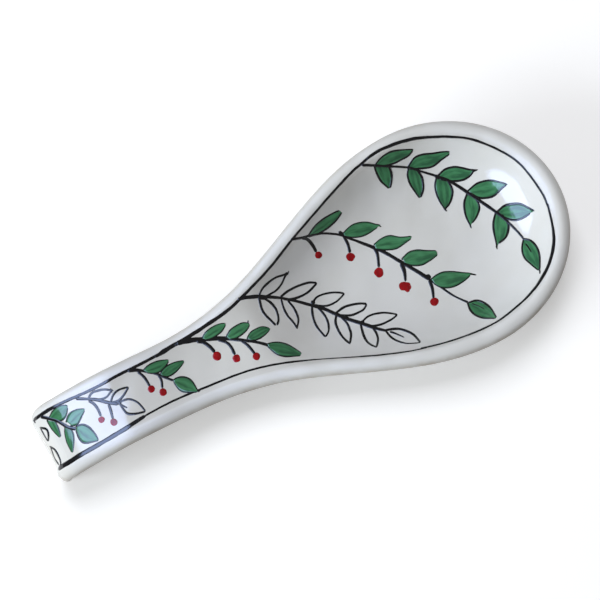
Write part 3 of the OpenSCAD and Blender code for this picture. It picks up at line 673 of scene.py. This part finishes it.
# Each leaf: its name, its two edges from the stem to the tip, and whether it is filled
leaves = [
    ("back_up_1", [(375, 164), (381, 157), (390, 151.5), (401, 149.5), (413, 149)],
     [(377, 166), (390, 164), (400, 159.5), (408, 155), (412.5, 149.5)], True),
    ("back_low_1", [(374, 166), (376, 172), (381, 181), (388.5, 188)],
     [(389, 167), (391, 173), (391, 180), (389.5, 187.5)], True),
    ("back_up_2", [(408, 166), (414, 157.5), (422, 154), (432, 153), (441, 151.5), (449, 151)],
     [(410, 168.5), (425, 167.5), (433, 165.5), (440, 160), (449, 153.5)], True),
    ("back_low_2", [(408, 168), (407, 174), (409, 182), (413, 189), (419, 197.5)],
     [(417, 170), (421, 176), (422.5, 183), (422.5, 190), (420, 197)], True),
    ("back_up_3", [(437, 176), (443, 170), (450, 167), (457, 166.5), (468, 169), (476, 169.5)],
     [(441, 179), (450, 180.5), (460, 180), (468, 176.5), (473, 170.5)], True),
    ("back_low_3", [(436, 177), (434.5, 185), (436, 193), (440, 202), (445, 209.5)],
     [(447, 180), (451, 187), (452, 194), (449, 203), (444, 209)], True),
    ("back_up_4", [(468, 190), (475, 184), (484, 180.5), (492, 180), (500, 182), (507, 184)],
     [(471, 193), (478, 197), (486, 197.5), (494, 195), (502, 187), (506, 184.5)], True),
    ("back_low_4", [(467, 193), (464, 201), (464, 209), (466, 217), (470.5, 226)],
     [(473, 195), (478, 203), (478.5, 210), (475, 218), (471, 223)], True),
    ("back_up_5", [(497, 211), (504, 205.5), (512, 203.5), (520, 203.5), (527, 207), (534, 210.5)],
     [(500, 215), (508, 218.5), (516, 219.5), (524, 216.5), (530, 212.5)], True),
    ("back_low_5", [(495, 213), (493, 222), (493.5, 232), (496, 243), (496.5, 247)],
     [(502, 215), (507, 222), (508, 228), (505, 237), (498, 243)], True),
    ("back_end", [(523, 239), (521.5, 248), (524, 257), (531, 264), (538.5, 270)],
     [(523, 238.5), (530, 240), (536, 246), (539, 255), (539.5, 269)], True),
    ("middle_up_1", [(308, 235), (314, 226), (322, 219), (331, 213.5), (339, 210)],
     [(309, 236), (319, 232.5), (328, 227), (336, 219.5), (341.5, 212)], True),
    ("middle_up_2", [(343, 233), (350, 226), (357, 223), (366, 222), (375, 224), (380, 225)],
     [(344, 235), (352, 236.5), (361, 235.5), (369, 232), (377, 226.5)], True),
    ("middle_up_3", [(374, 244), (380, 239), (389, 235.5), (400, 237), (411, 236)],
     [(375, 248), (385, 249), (395, 248), (402, 244), (410.5, 238)], True),
    ("middle_up_4", [(402, 258.5), (408, 252.5), (416, 250), (425, 250.5), (436, 250.5)],
     [(404, 262), (412, 264.5), (421, 264), (429, 260), (437, 254)], True),
    ("middle_up_5", [(431, 279), (436, 275), (443, 272), (452, 271.5), (462, 272.5), (470, 273)],
     [(434, 283), (441, 286.5), (450, 286.5), (459, 283), (466, 278), (470, 274)], True),
    ("middle_end", [(469, 302), (476, 300), (483, 302), (490, 307.5), (496, 317)],
     [(467.5, 303), (470, 309.5), (475, 314.5), (483, 317.5), (495, 318)], True),
    ("open_up_1", [(259, 294), (262, 288), (268, 282), (275, 277), (283, 274.5), (287.5, 272)],
     [(263, 297), (270, 293.5), (276, 289.5), (281, 283.5), (284, 277), (287.5, 272)], False),
    ("open_low_1", [(258.5, 297), (260, 304), (262, 310), (266, 315.5), (271, 320.5), (275.5, 325)],
     [(264, 298), (270, 302), (275, 308), (277.5, 315), (278, 320), (276.5, 325)], False),
    ("open_up_2", [(281, 296), (287, 291), (294, 287), (303, 283.5), (310, 282), (316.5, 282.5)],
     [(286, 299), (294, 298), (301, 295.5), (307, 292), (311, 288.5), (316.5, 282.5)], False),
    ("open_low_2", [(281, 300), (283, 307), (287, 315), (293, 322), (297, 328.5)],
     [(288, 301), (293, 307), (296.5, 314), (298, 320), (296.5, 328)], False),
    ("open_up_3", [(313, 301), (316, 297), (322, 294), (330, 292.2), (338, 292), (344, 293)],
     [(315, 304.5), (322, 305.5), (329, 304.5), (336, 301), (340, 297.5), (344, 293)], False),
    ("open_low_3", [(311.5, 305), (312, 313), (314, 321), (317, 327), (321, 332), (325, 336.5)],
     [(317, 307), (322, 312), (326, 318), (328, 325), (328, 331), (325, 336.5)], False),
    ("open_up_4", [(336, 312), (340, 309), (345, 306), (352, 304), (360, 303), (366.5, 303.5)],
     [(338, 314.5), (345, 315), (352, 314.5), (358, 312), (363, 309), (366.5, 303.5)], False),
    ("open_low_4", [(336, 315), (335, 321), (337, 328), (341, 335), (345, 339.5), (350, 343.5)],
     [(341, 317), (346, 322), (349, 328), (350.5, 334), (349.5, 343)], False),
    ("open_up_5", [(361, 322), (366, 317), (372, 314), (380, 312.5), (388, 312.5), (397, 314)],
     [(363, 324), (371, 325.5), (380, 324), (388, 320.5), (393, 317.5), (397, 314)], False),
    ("open_low_5", [(360.5, 325), (362, 331), (364, 337), (367, 341.5), (371, 344.5), (376.5, 347)],
     [(372, 327), (375.5, 332), (377.5, 338), (377, 343), (376, 347)], False),
    ("open_end", [(386, 329.5), (392, 328.5), (399, 328.5), (406, 330.5), (413, 334), (420, 342)],
     [(386, 331), (390, 336), (396, 340), (404, 342.5), (412, 342.8), (420, 342)], False),
    ("neck_up_1", [(202, 338), (205, 332.5), (211, 327.5), (218, 324), (225, 323)],
     [(205, 339), (211, 337.5), (217, 334), (221.5, 330), (225, 324)], True),
    ("neck_up_2", [(226, 336.5), (230, 330), (236, 325.5), (243, 322.5), (249, 323.5)],
     [(229, 338.5), (236, 337), (243, 332.5), (247, 328), (249, 324)], True),
    ("neck_up_3", [(247, 338), (250, 332.5), (256, 328.5), (262, 326.5), (269, 328)],
     [(250, 339.5), (257, 338.5), (263, 335), (267, 331.5), (269.5, 328)], True),
    ("neck_end", [(267, 344), (272, 342.5), (280, 342.5), (288, 345), (295, 349), (301, 353)],
     [(268, 346), (272, 350), (278, 354), (285, 355.5), (292, 355.5), (300, 355)], True),
    ("handle_up_1", [(143, 370), (147, 366), (152, 363), (159, 360.5), (168, 359.5)],
     [(147, 372), (153, 372.5), (159, 371), (164, 366.5), (168, 360.5)], True),
    ("handle_up_2", [(160, 374), (163, 369), (168, 365), (175, 362), (183.5, 360.5)],
     [(162, 375), (168, 375.5), (174, 372), (179, 367), (183.5, 361)], True),
    ("handle_berry_end", [(173, 380), (176, 378), (181, 377), (187, 378), (192, 382), (197, 391)],
     [(174, 382), (178, 388), (183, 391), (190, 391.5), (197, 391)], True),
    ("handle_open_up_1", [(88, 398), (91, 393), (96, 390.5), (104, 389), (113, 390)],
     [(91, 399), (99, 399), (106, 396.5), (111, 390)], False),
    ("handle_open_up_2", [(110.5, 401), (113, 394), (119, 389), (128, 386.5)],
     [(112, 402), (118, 400), (123, 395), (126, 390), (128, 386.5)], False),
    ("handle_open_end", [(119, 402), (124, 399.5), (130, 399), (137, 402), (142, 407), (145, 411)],
     [(120, 404), (123, 409), (127, 413), (133, 413.5), (139, 412.5), (145, 411)], False),
    ("end_up_1", [(49, 417), (53, 410), (60, 405.5), (67, 405)],
     [(52, 419.5), (60, 420), (65, 416), (67, 407)], True),
    ("end_up_2", [(66, 421), (69, 413.5), (76, 409.5), (84, 408.5)],
     [(71, 425), (77, 423.5), (81, 416), (84, 409.5)], True),
    ("end_low_1", [(47, 420), (49.5, 425), (53.5, 430.5), (59.5, 437)],
     [(54.5, 421), (57.2, 426.5), (58.8, 431.5), (60, 436.5)], True),
    ("end_low_2", [(64.5, 427), (65, 434.5), (67.2, 443), (71.7, 452)],
     [(68, 427), (72, 432), (73, 439), (72.8, 446), (72, 452)], True),
    ("end_end", [(76, 426), (82, 424), (89, 427), (95, 434), (98, 440)],
     [(76, 431), (80, 440), (85, 442.5), (91, 441.5), (98, 440)], True),
    ("fold_leaf_1", [(40.5, 427.5), (45.5, 428.5), (47.8, 433), (47.8, 441)],
     [(40.5, 428.5), (43.6, 434.5), (47.5, 441)], False),
    ("fold_leaf_2", [(50, 446.5), (54.5, 449.5), (58.5, 456.5), (60.2, 462.5), (59, 465)],
     [(50.6, 448), (54, 457.5), (58.5, 464.5)], False),
]

# Short extra flicks: midribs, tails and barbs where two pulls crossed
leaf_flicks = [
    ([(525, 243), (528, 247), (531, 252)], [1.6, 1.2]),
    ([(539, 266), (539.5, 273.5)], [1.8, 1.4]),
    ([(471, 303), (478, 305.5), (484, 308.5)], [1.6, 1.2]),
    ([(468, 273), (476, 274.5)], [2.0, 1.4]),
    ([(389, 331), (395, 333), (404, 337)], [2.6, 1.8, 1.4]),
    ([(286.5, 275), (288.5, 270)], [1.8, 1.4]),
    ([(247.5, 319.5), (247.5, 324)], [1.2, 1.6]),
    ([(469, 223), (471, 228)], [2.0, 1.4]),
    ([(495.5, 245), (497, 249)], [1.8, 1.4]),
    ([(471, 171.5), (477.5, 169)], [2.2, 1.4]),
    ([(120, 404), (127, 407.5)], [2.6, 1.6]),
    ([(110, 387.5), (111.5, 392.5)], [1.4, 1.6]),
    ([(196, 391), (200, 390)], [2.4, 1.6]),
    ([(175, 381), (183, 386)], [1.8, 1.2]),
    ([(376, 223.5), (381, 226.5)], [1.4]),
    ([(443, 207.5), (446.5, 211)], [1.8, 1.4]),
]


def from_stem(spots):
    """The same pull, begun a little earlier, on the stem."""
    first, second = Vector(spots[0]), Vector(spots[1])
    return [first + (first - second).normalized() * outline_overlap, *spots[1:]]


outline_black, tree, surface = new_material("black_outline_underglaze")
thin, _ = add_streaks(tree, *outline_streaks)
tone = mix_colours(tree, thin, black_deep, black_dry)
tree.links.new(tone, surface.inputs["Base Color"])
add_ripple(tree, surface)

paint, layers = start_paint()
press = random.Random(press_seed)
for k, (name, first, second, _) in enumerate(leaves):
    for edge_spots in (first, second):
        heavy = press.uniform(*press_range)
        weight = heavy * outline_weights[name.split("_")[0]]
        brush(paint, layers, from_stem(edge_spots), [width * weight for width in outline_widths],
              k * outline_load + heavy, outline_film, outline_ends)
for k, (spots, widths) in enumerate(leaf_flicks):
    brush(paint, layers, spots, widths, k * flick_load, outline_film, outline_ends)
finish_paint(paint, "leaf_outline_strokes", outline_black, "leaf_outlines")


# ---- The green leaves ----
# The filled leaves are one or two wet dabs of copper green inside the outline: darker where the
# colour settled by the stem and the edge, paler in the middle, and here and there over the line.

green_deep = (0.021, 0.104, 0.048, 1)
green_body = (0.038, 0.176, 0.075, 1)
green_pale = (0.060, 0.247, 0.111, 1)
green_tones = [(0.0, green_deep), (0.45, green_body), (1.0, green_pale)]
green_streaks = (34, 0.045, 1.0)
green_film = 0.00003
green_edge = 0.5
leaf_steps = 22
leaf_lanes = 8
dab_seed = 5
dab_range = (0, 30)

green_material, tree, surface = new_material("copper_green_underglaze")
thin, pooled = add_streaks(tree, *green_streaks)
tone = ramp(tree, thin, green_tones)
tone = mix_colours(tree, pooled, tone, green_deep)
tree.links.new(tone, surface.inputs["Base Color"])
add_ripple(tree, surface)

paint, layers = start_paint()
dab = random.Random(dab_seed)
for name, first, second, filled in leaves:
    if not filled:
        continue
    upper, length = curve_through(first, leaf_steps)
    lower, _ = curve_through(second, leaf_steps)
    made = bmesh.ops.create_grid(
        paint, x_segments=leaf_steps, y_segments=leaf_lanes, size=half_grid
    )
    wash = dab.uniform(*dab_range)
    for vertex in made["verts"]:
        step = round((vertex.co.x + half_grid) * leaf_steps)
        lane = vertex.co.y * 2
        spot = upper[step].lerp(lower[step], (lane + 1) / 2)
        vertex.co = on_glaze(spot, green_film * (green_edge + (1 - green_edge) * (1 - lane ** 4)))
        vertex[layers[0]] = step * length / leaf_steps
        vertex[layers[1]] = lane
        vertex[layers[2]] = wash
finish_paint(paint, "green_leaf_dabs", green_material, "green_leaves")


# ---- The red berries ----
# Each berry is a dab from the tip of a round brush, so it is a little domed and never quite round,
# with the pigment thicker towards its middle.

red_deep = (0.170, 0.0015, 0.004, 1)
red_body = (0.330, 0.0015, 0.006, 1)
berry_streaks = (1.4, 0.35, 0.9)
berry_film = 0.00011
berry_index = 1.46
berry_sides = 28
berry_rings = 10
berry_lobes = 1.2
lobe_height = 2
streak_squeeze = 0.7

# Each berry: its middle, its radius and how uneven it is
berries = [
    (318, 254.5, 3.7, 0.06), (350, 256.5, 4.4, 0.08), (378.5, 272, 4.8, 0.07),
    (403.0, 285.6, 4.6, 0.12), (406.3, 286.2, 4.4, 0.10), (407.2, 289.6, 2.2, 0.05),
    (433.9, 301.2, 4.3, 0.07), (216.5, 355.5, 4.4, 0.06),
    (235.7, 358, 4.1, 0.08), (256, 355.8, 3.9, 0.05), (150.7, 388.5, 3.7, 0.06),
    (162.6, 391.7, 3.9, 0.06), (101, 419.2, 3.3, 0.05), (113.3, 421.7, 3.6, 0.05),
]

red_material, tree, surface = new_material("iron_red_underglaze")
thin, _ = add_streaks(tree, *berry_streaks)
tone = mix_colours(tree, thin, red_body, red_deep)
tree.links.new(tone, surface.inputs["Base Color"])
add_ripple(tree, surface)
surface.inputs["IOR"].default_value = berry_index

paint, layers = start_paint()
for across, down, radius, uneven in berries:
    made = bmesh.ops.create_uvsphere(
        paint, u_segments=berry_sides, v_segments=berry_rings, radius=1
    )
    for vertex in made["verts"]:
        angle = math.atan2(vertex.co.y, vertex.co.x)
        wave = noise.noise(
            Vector((math.cos(angle) * berry_lobes, math.sin(angle) * berry_lobes, across))
        )
        reach = radius * (1 + uneven * wave * lobe_height)
        spot = (across + vertex.co.x * reach, down + vertex.co.y * reach)
        height = vertex.co.z
        vertex[layers[0]] = vertex.co.x * radius
        vertex[layers[1]] = vertex.co.y * streak_squeeze
        vertex[layers[2]] = across
        vertex.co = on_glaze(spot, berry_film * height if height > 0 else film_skirt * height)
mesh = bpy.data.meshes.new("red_berry_dabs")
for face in paint.faces:
    face.smooth = True
bmesh.ops.recalc_face_normals(paint, faces=paint.faces)
paint.to_mesh(mesh)
paint.free()
berry_dabs = bpy.data.objects.new("red_berry_dabs", mesh)
bpy.context.collection.objects.link(berry_dabs)
mesh.materials.append(red_material)
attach(berry_dabs, "root")
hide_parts("red_berries")


# ---- The table, the light and the camera ----
# The rest lies on a plain white table, lit by a broad sky panel over its far side, a low window off
# to the left and the room's own dim light. One small card over the handle shows in the gloss.

table_half = 3.0
table_white = (0.93, 0.93, 0.93, 1)
table_bounce = (0.40, 0.39, 0.36, 1)
table_roughness = 0.9
table_lift = 0.25
sensor_width = 36
room_glow = 0.19
room_colour = (1.04, 0.98, 0.92, 1)

# Each lamp: its place, what it faces, its two sides, its radiance and its colour
lamps = {
    "sky_panel": ((0.170, 0.635, 1.236), (0, 0, 0), (0.90, 0.90), 4.1, (0.97, 1.00, 1.06)),
    "left_window": ((-1.530, -0.080, 0.460), (0, 0, 0), (1.10, 0.60), 13.2, (0.95, 1.01, 1.06)),
    "gloss_card": (
        (-0.104, 0.060, 0.160), (0.027, 0.060, 0.009), (0.29, 0.146), 3.9, (0.68, 0.88, 1.46),
    ),
}
# The card is what the glaze mirrors, and the others only light it
mirrored_lamp = "gloss_card"

table_shape = bmesh.new()
bmesh.ops.create_grid(table_shape, x_segments=2, y_segments=2, size=table_half)
table_mesh = bpy.data.meshes.new("table_top")
table_shape.to_mesh(table_mesh)
table_shape.free()
table_top = bpy.data.objects.new("table_top", table_mesh)
bpy.context.collection.objects.link(table_top)
table_material, tree, surface = new_material("white_table")
surface.inputs["Roughness"].default_value = table_roughness
surface.inputs["Specular IOR Level"].default_value = 0.0
surface.inputs["Emission Color"].default_value = (1, 1, 1, 1)


def seen_share(tree):
    """1 for what is seen, straight or in gloss or glass, and 0 for the light that it throws."""
    path = tree.nodes.new("ShaderNodeLightPath")
    seen = path.outputs["Is Camera Ray"]
    for ray in ("Is Glossy Ray", "Is Transmission Ray"):
        either = tree.nodes.new("ShaderNodeMath")
        either.operation = "MAXIMUM"
        tree.links.new(seen, either.inputs[0])
        tree.links.new(path.outputs[ray], either.inputs[1])
        seen = either.outputs["Value"]
    return seen


seen = seen_share(tree)
tree.links.new(mix_colours(tree, seen, table_bounce, table_white), surface.inputs["Base Color"])
lift = tree.nodes.new("ShaderNodeMath")
lift.operation = "MULTIPLY"
lift.inputs[1].default_value = table_lift
tree.links.new(seen, lift.inputs[0])
tree.links.new(lift.outputs["Value"], surface.inputs["Emission Strength"])
table_mesh.materials.append(table_material)

for name, (place, facing, sides, glow, colour) in lamps.items():
    lamp = bpy.data.lights.new(name, "AREA")
    lamp.shape = "ELLIPSE" if name == mirrored_lamp else "RECTANGLE"
    lamp.size, lamp.size_y = sides
    lamp.energy = glow * math.pi * sides[0] * sides[1]
    lamp.color = colour
    holder = bpy.data.objects.new(name, lamp)
    holder.location = place
    holder.rotation_mode = "QUATERNION"
    holder.rotation_quaternion = (Vector(place) - Vector(facing)).to_track_quat("Z", "Y")
    holder.visible_camera = False
    holder.visible_diffuse = name != mirrored_lamp
    holder.visible_glossy = name == mirrored_lamp
    bpy.context.collection.objects.link(holder)

world = bpy.data.worlds.new("pale_room")
world.use_nodes = True
world.node_tree.nodes["Background"].inputs["Color"].default_value = room_colour
world.node_tree.nodes["Background"].inputs["Strength"].default_value = room_glow
bpy.context.scene.world = world

lens_data = bpy.data.cameras.new("photo_camera")
lens_data.sensor_width = sensor_width
lens_data.lens = focal_px / frame_px * sensor_width
photo_camera = bpy.data.objects.new("photo_camera", lens_data)
photo_camera.matrix_world = Matrix.Translation(camera_eye) @ Matrix(
    (camera_right, camera_up, -camera_ahead)
).transposed().to_4x4()
bpy.context.collection.objects.link(photo_camera)
bpy.context.scene.camera = photo_camera
bpy.context.scene.view_settings.view_transform = "Standard"
